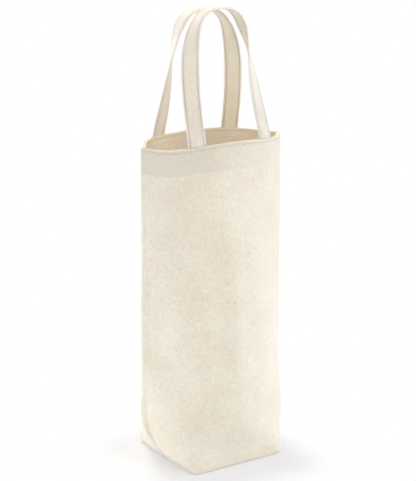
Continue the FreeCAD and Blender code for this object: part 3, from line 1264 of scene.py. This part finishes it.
@dataclass
class Strap:
    """One carrying strap: a folded strip of canvas, sewn into the rim at both ends."""

    shop: Workshop
    side: Side
    shift: float = 0.0
    sway: float = 0.0
    width: float = 18.0
    thickness: float = 1.8
    spacing: float = 83.0
    rise: float = 125.0
    leg_fullness: float = 5.0
    leg_taper: float = 0.21
    arch_fullness: float = 3.0
    apex_gap: float = 2.4
    twist_start: float = 0.2
    twist_span: float = 0.7
    twist_haste: float = 2.2
    twist_lag: float = 0.0
    twist_wait: float = 0.05
    end_depth: float = 24.0
    end_rows: int = 18
    end_cup: float = 0.011
    ring_step: float = 1.35
    middle_inset: float = 1.95
    row_margin: float = 2.2
    row_start: float = 14.0
    stitch_pitch: float = 2.6
    needle_hole_shade: float = 1.35
    fold_share: float = 0.26
    bend_y: float = -38.5
    bend_low: float = -0.6
    bend_high: float = 13.0
    weave_starts: tuple[float, float] = (3000.0, 3600.0)

    @property
    def shape(self) -> BagShape:
        """Shape of the bag."""
        return self.shop.shape

    @property
    def row(self) -> float:
        """Distance of each row of sewing from the middle of the strip."""
        return self.width / 2 - self.row_margin

    def feet(self) -> tuple[float, float]:
        """Shares across the mouth at which the strap is sewn in."""
        half = self.shape.mouth_width / 2
        return tuple((sign * self.spacing / 2 + self.shift) / half for sign in (-1.0, 1.0))

    def foot_z(self) -> float:
        """Height at which the free length starts."""
        edge = self.spacing / 2 - self.width / 2
        dip = self.shape.rim_dip * (2 * edge / self.shape.mouth_width) ** 2
        return self.shape.height - dip + 0.5

    def foot(self, sign: float) -> tuple[float, float]:
        """Where a foot of the strap lies on the mouth's curve.

        Args:
            sign: -1 for the left foot, 1 for the right.

        Returns:
            Depth of the foot and slope of the curve there.
        """
        section = self.shape.section(np.array(self.shape.height))
        half_width, half_depth, fullness = (float(v) for v in section)
        slope = fullness * half_depth / half_width
        half_width -= self.middle_inset * math.sqrt(1 + 1 / slope**2)
        half_depth -= self.middle_inset
        reach = abs(sign * self.spacing / 2 + self.shift) / half_width
        slope = half_depth * fullness / half_width * reach ** (fullness - 1)
        return -half_depth * (1 - reach**fullness), slope

    def off_ends(self, run: Array) -> Array:
        """0 along the sewn ends, and 1 beyond 20 mm up the free length."""
        return smooth((np.minimum(run, run[-1] - run) - self.end_depth) / 20.0)

    def cup(self, run: Array) -> Array:
        """How strongly the width bends to the mouth's curve, which it does at both sewn ends."""
        return (self.end_cup * (1 - self.off_ends(run)))[:, None]

    def free_line(self, angle: Array) -> Array:
        """Middle line of the free length, from the left foot at 0 to the right foot at pi.

        Args:
            angle: Places along the line.

        Returns:
            The points.
        """
        (left_y, _), (right_y, _) = self.foot(-1.0), self.foot(1.0)
        climb = np.sin(angle) ** (2 / self.leg_fullness)
        across = np.sign(-np.cos(angle)) * np.abs(np.cos(angle)) ** (2 / self.arch_fullness)
        foot_y = left_y + (right_y - left_y) * (1 + across) / 2
        lean = -foot_y - self.width / 2 - self.apex_gap / 2
        half = self.spacing / 2 * (1 - self.leg_taper * climb)
        x = half * across + self.shift + self.sway * climb
        y = foot_y + lean * climb * (2 - climb)
        return stacked(x, y, self.foot_z() + self.rise * climb)

    def middle_line(self) -> tuple[Array, Array]:
        """Middle line of the whole strap, with its two sewn ends.

        Returns:
            The points, and the share of the free length that each has behind it.
        """
        fine = self.free_line(np.linspace(0.0, math.pi, 6001))
        run = runs(fine)
        even = np.linspace(0.0, run[-1], int(run[-1] / self.ring_step) + 1)
        free = np.stack([np.interp(even, run, fine[:, k]) for k in range(3)], axis=-1)
        down = np.linspace(self.end_depth, 0.4, self.end_rows)
        left, right = (stacked(foot[0], foot[1], foot[2] - down) for foot in (free[0], free[-1]))
        points = np.concatenate([left, free, right[::-1]])
        share = [np.zeros(self.end_rows), even / run[-1], np.ones(self.end_rows)]
        for _ in range(10):
            points[1:-1] = 0.25 * points[:-2] + 0.5 * points[1:-1] + 0.25 * points[2:]
        return points, np.concatenate(share)

    def frames(self) -> tuple[Array, Array, Array, Array]:
        """Middle points, width directions and outward directions along the whole strap.

        Returns:
            Points, width directions, outward directions and run along the strap.
        """
        points, share = self.middle_line()
        along = np.gradient(points, axis=0)
        along /= np.linalg.norm(along, axis=1, keepdims=True)
        right = share > 0.5
        left_slope, right_slope = (math.atan(self.foot(sign)[1]) for sign in (-1.0, 1.0))
        start = np.where(share < 0.5, left_slope, right_slope)
        wait = self.twist_start + self.twist_wait * right
        from_top = np.clip((np.abs(2 * share - 1) - wait) / self.twist_span, 0.0, 1.0)
        haste = self.twist_haste - self.twist_lag * right
        turn = np.sign(share - 0.5) * (1 - (1 - from_top) ** haste)
        angle = math.pi / 2 + (math.pi / 2 - start) * turn
        across = stacked(np.cos(angle), -np.sin(angle), 0.0 * angle)
        across -= along * np.sum(across * along, axis=1, keepdims=True)
        across /= np.linalg.norm(across, axis=1, keepdims=True)
        return points, across, np.cross(across, along), runs(points)

    def outline(self) -> Array:
        """Cross-section of the folded strip, round at its edges and stepped at its inner fold.

        Returns:
            Places across the strip and off its middle, once round.
        """
        half, rim, row = self.width / 2, self.thickness / 2, self.row
        step = half - self.fold_share * self.width
        face = [
            (-row - 0.7, 0.0), (-row, -0.17), (-row + 0.7, 0.02), (-3.6, 0.09), (0.0, 0.12),
            (3.6, 0.09), (row - 0.7, 0.02), (row, -0.17), (row + 0.7, 0.0),
        ]
        inner = [
            (row + 0.7, 0.0), (row, 0.15), (row - 0.7, -0.05), (step + 0.35, -0.06),
            (step + 0.02, 0.06), (step - 0.22, 0.34), (step - 1.4, 0.31), (0.0, 0.28),
            (-row + 0.7, 0.2), (-row, 0.3), (-row - 0.7, 0.12),
        ]
        bow = [
            (half - rim + rim * math.cos(turn), rim * math.sin(turn))
            for turn in np.linspace(1.25, -1.25, 7)
        ]
        top, low = [(a, rim + b) for a, b in face], [(a, b - rim) for a, b in inner]
        return np.array(top + bow + low + [(-a, -b) for a, b in bow])

    def turned(self, points: Array) -> Array:
        """Points or directions of the front strap, turned to this strap's half."""
        return points * np.array([self.side.turn, self.side.turn, 1.0])

    def hang(self, piece: Piece) -> Piece:
        """Bake the transform of a piece into its mesh.

        Args:
            piece: The strap or its sewing.

        Returns:
            The same piece.
        """
        y = self.side.turn * self.bend_y * MM
        low, high = ((self.shape.height + bend) * MM for bend in (self.bend_low, self.bend_high))
        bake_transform(piece)
        return piece

    def make(self) -> Piece:
        """Build and dress the strap.

        Returns:
            The strap.
        """
        points, across, outward, run = self.frames()
        ring, row = self.outline(), run[:, None]
        edge = (np.abs(ring[:, 0]) / (self.width / 2))[None, :]
        ripple = 0.1 * np.sin(row / 0.53) * edge**4
        bow = 0.22 * np.sin(row / 17.0 + 0.6) * (edge**2 - 0.4)
        a = ring[None, :, 0] * (1 + 0.006 * np.sin(row / 13.0))
        b = ring[None, :, 1] + ripple + bow * self.off_ends(run)[:, None]
        b = b - self.cup(run) * ring[None, :, 0] ** 2
        rings = points[:, None] + across[:, None] * a[..., None] + outward[:, None] * b[..., None]
        cloth = stacked(runs(ring)[None, :] + self.side.pick(*self.weave_starts), row)
        # Painted shade along both rows of stitches on the strap.
        sewn = 0.4 * hump(np.abs(ring[:, 0]) - self.row, 0.75)[None, :] + 0.0 * row
        mesh = ClothMesh()
        mesh.add_tube(self.turned(rings), cloth, {Mark.STITCH_ROW_SHADE: sewn})
        name = self.side.value + "_strap"
        piece = mesh.make(name + "_cloth")
        self.shop.finishes.dress(piece, "strap")
        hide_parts(name, name + "_left_end", name + "_right_end")
        return self.hang(piece)

    def make_stitches(self) -> Piece:
        """Sew both edges of the strap on both of its faces.

        Returns:
            The stitches.
        """
        points, across, outward, run = self.frames()
        keep = (run > self.row_start) & (run < run[-1] - self.row_start)
        rows = []
        for edge, face, sink in ((-1, 1, 0.1), (-1, -1, 0.24), (1, 1, 0.1), (1, -1, 0.1)):
            lift = face * (self.thickness / 2 - sink) - self.cup(run) * self.row**2
            place = points + across * edge * self.row + outward * lift
            rows.append(StitchRow(self.turned(place[keep]), self.turned(outward[keep] * face)))
        node = self.side.value + "_strap_thread"
        sewing = self.shop.stitcher.sew(node, rows, self.stitch_pitch, self.needle_hole_shade)
        return self.hang(sewing)


@dataclass
class MouthSewing(MouthPiece):
    """Rows of sewing round the mouth and over the strap ends."""

    facing_inset: float = 3.6
    rim_end: float = 0.94
    tack_drop: float = 9.0
    tack_half: float = 8.6
    stitch_pitch: float = 3.3

    def row(self, start: float, end: float, drop: float, inset: float, way: float) -> StitchRow:
        """One row across the cloth at the mouth.

        Args:
            start: Share across the panel where it begins.
            end: Share where it ends.
            drop: Distance below the rim.
            inset: Depth of the row below the outer skin.
            way: 1 if the cloth faces out of the bag there, -1 if it faces in.

        Returns:
            The row.
        """
        share = np.linspace(start, end, max(12, int((end - start) * 90)))
        level = np.full_like(share, self.shape.height - drop)
        points, deeper = (self.layer(share, level, inset + d + 0.0 * share) for d in (0.0, 1.0))
        outward = (points - deeper) * np.array([1.0, 1.0, 0.0])
        normal = np.cross(np.gradient(points, axis=0), np.array([0.0, 0.0, 1.0]))
        normal *= np.sign(np.sum(normal * outward, axis=1, keepdims=True))
        normal /= np.linalg.norm(normal, axis=1, keepdims=True)
        return StitchRow(points, normal * way)

    def sew(self, node: str, spans: Line, drop: float, insets: Line) -> Piece:
        """Sew rows that are seen outside and inside the bag.

        Args:
            node: Last words of the node that the sewing stands for.
            spans: Shares across the panel where each row begins and ends.
            drop: Distance of the rows below the rim.
            insets: Depth of the outer and the inner row, each with the way that it faces.

        Returns:
            The sewing.
        """
        rows = [self.row(*span, drop, *inset) for span in spans for inset in insets]
        piece = self.shop.stitcher.sew(self.side.value + node, rows, self.stitch_pitch)
        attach(piece, "bag")
        return piece

    def make_rim(self) -> Piece:
        """Sew the row that runs round the rim."""
        insets = ((0.08, 1.0), (self.facing_inset - 0.1, -1.0))
        return self.sew("_rim_thread", ((-self.rim_end, self.rim_end),), self.row_drop, insets)

    def make_tacks(self) -> Piece:
        """Sew the short rows that hold the strap ends.

        Returns:
            The sewing.
        """
        half = self.tack_half / (self.shape.mouth_width / 2)
        spans = tuple((foot - half, foot + half) for foot in self.feet)
        insets = ((-0.02, 1.0), (self.facing_inset + 0.05, -1.0))
        return self.sew("_strap_tacks", spans, self.tack_drop, insets)


@dataclass(frozen=True)
class Lamp:
    """A soft studio lamp aimed at a height of the bag."""

    name: str
    place: tuple[float, float, float]
    size: tuple[float, float]
    power: float
    colour: Colour = (1.0, 1.0, 1.0)
    aim_height: float = 0.2

    def make(self) -> None:
        """Hang the lamp out of sight and turn it to its aim."""
        data = bpy.data.lights.new(self.name, "AREA")
        data.shape = "RECTANGLE"
        data.size, data.size_y = self.size
        data.energy, data.color = self.power, self.colour
        lamp = put_in_scene(self.name, data)
        lamp.location = self.place
        lamp.visible_camera = False
        way = Vector((0.0, 0.0, self.aim_height)) - Vector(self.place)
        lamp.rotation_euler = way.to_track_quat("-Z", "Y").to_euler()


LAMPS = (
    Lamp("softbox in front", (0.5, -1.13, 1.06), (1.1, 0.8), 9.4, (1.0, 0.985, 0.985)),
    Lamp("window right", (1.27, -0.4, 0.5), (0.7, 0.9), 3.3, (0.78, 0.98, 1.28)),
    Lamp("window left", (-1.32, 0.08, 0.3), (1.0, 1.0), 8.0, (0.94, 0.98, 1.09)),
    Lamp("window behind", (0.0, 0.75, 1.25), (0.7, 0.7), 11.0, (1.03, 0.98, 0.91)),
    Lamp("card in front", (0.18, -0.33, 0.02), (0.3, 0.04), 0.17, aim_height=0.03),
    Lamp("card left", (-0.34, 0.07, 0.03), (0.3, 0.05), 0.15, aim_height=0.03),
)


@dataclass
class Studio:
    """Pale floor, soft light and the camera at the photograph's viewing angle."""

    base_half: tuple[float, float]
    azimuth: float = 32.9
    elevation: float = 14.9
    distance: float = 1.4
    lens: float = 102.84
    sensor: float = 36.0
    aim_across: float = -0.0033
    aim_height: float = 0.2258
    floor_size: float = 7.0
    floor_z: float = -0.0004
    floor_bounce: tuple[float, ...] = (0.80, 0.79, 0.77, 1.0)
    floor_seen: tuple[float, ...] = (0.80, 0.805, 0.82, 1.0)
    shadow_shift: tuple[float, float] = (0.014, 0.018)
    shadow_white: float = 0.40
    shadow_far: float = 0.06
    sky: float = 0.46
    sky_bounce: tuple[float, ...] = (1.0, 0.96, 0.91, 1.0)
    sky_seen: tuple[float, ...] = (1.0, 1.0, 1.0, 1.0)

    def make_camera(self) -> None:
        """Place the camera."""
        turn, lift = math.radians(self.azimuth), math.radians(self.elevation)
        flat = math.cos(lift)
        back = Vector((-math.sin(turn) * flat, -math.cos(turn) * flat, math.sin(lift)))
        right = Vector((math.cos(turn), -math.sin(turn), 0.0))
        aim = right * self.aim_across + Vector((0.0, 0.0, self.aim_height))
        data = bpy.data.cameras.new("camera")
        data.lens, data.sensor_width, data.sensor_fit = self.lens, self.sensor, "AUTO"
        data.clip_start, data.clip_end = 0.05, 50.0
        camera = put_in_scene("camera", data)
        axes = Matrix((right, back.cross(right), back)).transposed().to_4x4()
        camera.matrix_world = Matrix.Translation(aim + back * self.distance) @ axes
        bpy.context.scene.camera = camera

    def make_floor(self) -> None:
        """Lay the floor, which takes the bag's shadow and is pale to the camera."""
        half = self.floor_size / 2
        corners = ((-half, -half), (half, -half), (half, half), (-half, half))
        mesh = bpy.data.meshes.new("floor")
        mesh.from_pydata([(*corner, self.floor_z) for corner in corners], [], [(0, 1, 2, 3)])
        floor = put_in_scene("floor", mesh)
        material = bpy.data.materials.new("pale floor")
        material.use_nodes = True
        material.node_tree.nodes.clear()
        sketch = NodeSketch(material.node_tree)
        seen = sketch.add("ShaderNodeLightPath").outputs["Is Camera Ray"]
        shade = sketch.mix(seen, self.floor_bounce, self.floor_seen)
        place = sketch.add("ShaderNodeTexCoord").outputs["Object"]
        apart = sketch.vector("ABSOLUTE", sketch.vector("ADD", place, (*self.shadow_shift, 0.0)))
        beyond = sketch.vector("SUBTRACT", apart, (*self.base_half, 0.0))
        outside = sketch.vector("MAXIMUM", beyond, (0.0, 0.0, 0.0))
        away = sketch.add("ShaderNodeVectorMath", {0: outside}, operation="LENGTH")
        feeds = {
            "Value": away.outputs["Value"],
            "From Max": self.shadow_far,
            "To Min": self.shadow_white,
            "To Max": 1.0,
        }
        far = sketch.out("ShaderNodeMapRange", feeds, interpolation_type="SMOOTHSTEP")
        feeds = {
            0: sketch.math("MULTIPLY", far, seen),
            1: sketch.out("ShaderNodeBsdfDiffuse", {"Color": shade}),
            2: sketch.out("ShaderNodeEmission"),
        }
        both = sketch.out("ShaderNodeMixShader", feeds)
        sketch.add("ShaderNodeOutputMaterial", {"Surface": both})
        mesh.materials.append(material)

    def make_sky(self) -> None:
        """Light the room softly, and show it white to the camera."""
        world = bpy.data.worlds.new("studio")
        bpy.context.scene.world = world
        world.use_nodes = True
        sketch = NodeSketch(world.node_tree)
        path = sketch.add("ShaderNodeLightPath").outputs
        seen = sketch.math("MAXIMUM", path["Is Camera Ray"], path["Is Glossy Ray"])
        sketch.feed(world.node_tree.nodes["Background"].inputs, {
            "Strength": sketch.ranged(seen, 0.0, 1.0, self.sky, 1.0),
            "Color": sketch.mix(seen, self.sky_bounce, self.sky_seen),
        })

    def make(self) -> None:
        """Set up the whole studio."""
        self.make_camera()
        self.make_floor()
        self.make_sky()
        for lamp in LAMPS:
            lamp.make()
        bpy.context.scene.view_settings.view_transform = "Standard"


FRONT_FOLDS = (
    Crease(
        (
            (14.0, 6.0), (11.0, 30.0), (-1.0, 70.0), (-6.0, 145.0),
            (-4.0, 181.0), (-6.0, 207.0), (-12.0, 268.0), (-20.0, 312.0),
        ),
        6.6, 50.0,
    ),
    Fold(
        (
            (-62.0, 298.0), (-46.0, 256.0), (-34.0, 220.0),
            (-21.0, 186.0), (-19.0, 140.0), (-19.0, 90.0),
        ),
        -3.2, 12.0, 12.0,
    ),
    Fold(((-84.0, 98.0), (-68.0, 114.0), (-52.0, 132.0), (-34.0, 156.0)), -4.4, 12.0, 12.0, 22.0),
    Fold(((-73.0, 208.0), (-74.0, 150.0), (-76.0, 100.0)), -3.0, 9.0, 9.0, 20.0),
    Fold(((-60.0, 92.0), (-61.0, 60.0), (-58.0, 24.0)), 1.3, 10.0, 8.0, 16.0),
    Fold(((-83.0, 236.0), (-62.0, 226.0)), 1.6, 9.0, 9.0, 10.0),
    Fold(((-83.0, 208.0), (-64.0, 200.0)), -1.4, 9.0, 9.0, 10.0),
    Fold(((30.0, 60.0), (44.0, 26.0)), -0.8, 12.0, 12.0, 14.0),
    Fold(((42.0, 300.0), (50.0, 200.0), (54.0, 70.0)), -2.0, 26.0, 26.0, 26.0),
)
BACK_FOLDS = (
    Crease(((-10.0, 6.0), (4.0, 90.0), (12.0, 170.0), (8.0, 240.0), (16.0, 312.0)), 4.0, 52.0),
    Fold(((-48.0, 270.0), (-36.0, 200.0), (-42.0, 130.0)), -1.2, 13.0, 13.0),
    Fold(((80.0, 130.0), (58.0, 112.0), (36.0, 100.0)), -1.8, 12.0, 12.0),
    Fold(((60.0, 90.0), (60.0, 30.0)), 1.2, 9.0, 9.0, 18.0),
)
STRAP_LIES = {
    Side.FRONT: {"shift": 0.5, "sway": 1.0, "spacing": 80.5, "leg_taper": 0.19, "rise": 127.6},
    Side.BACK: {
        "shift": -2.4, "sway": 6.4, "spacing": 85.0, "rise": 125.0,
        "twist_lag": 0.7, "twist_wait": 0.03,
    },
}
BASE_INSETS = 2.1


def bag_shape() -> BagShape:
    """Read the bag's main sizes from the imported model.

    Returns:
        The shape that the cloth follows.
    """
    low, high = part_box("front_panel")
    base_low, base_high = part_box("base_panel")
    return BagShape(
        height=high.z / MM,
        mouth_width=(high.x - low.x) / MM,
        base_length=(base_high.x - base_low.x) / MM + BASE_INSETS,
        base_depth=-2 * low.y / MM,
        folds={Side.FRONT: FRONT_FOLDS, Side.BACK: BACK_FOLDS},
    )


def main() -> None:
    """Build the carrier and its studio, piece by piece."""
    logging.basicConfig(level=logging.INFO, format="%(name)s: %(message)s")
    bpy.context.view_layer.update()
    shape = bag_shape()
    finishes = Finishes()
    shop = Workshop(shape, finishes, Stitcher(finishes))
    built = []
    for side in Side:
        strap = Strap(shop, side, **STRAP_LIES[side])
        feet = strap.feet()
        facing = Facing(shop, side, feet)
        sewing = MouthSewing(shop, side, feet)
        built += [
            Panel(shop, side, feet).make(),
            facing.make_band(),
            facing.make_turned_edges(),
            strap.make(),
            strap.make_stitches(),
            sewing.make_rim(),
            sewing.make_tacks(),
        ]
    built.append(Base(shop).make())
    allowances = SeamAllowances(shop)
    for label, sign in (("left", -1.0), ("right", 1.0)):
        built.append(allowances.make_side(label + "_side_seam", sign))
        built.append(allowances.make_base(label + "_base_seam", sign))
    for piece in built:
        LOG.info("%s: %d faces", piece.name, len(piece.data.polygons))
    Studio((shape.base_length / 2 * MM, shape.base_depth / 2 * MM)).make()


if __name__ == "__main__":
    main()
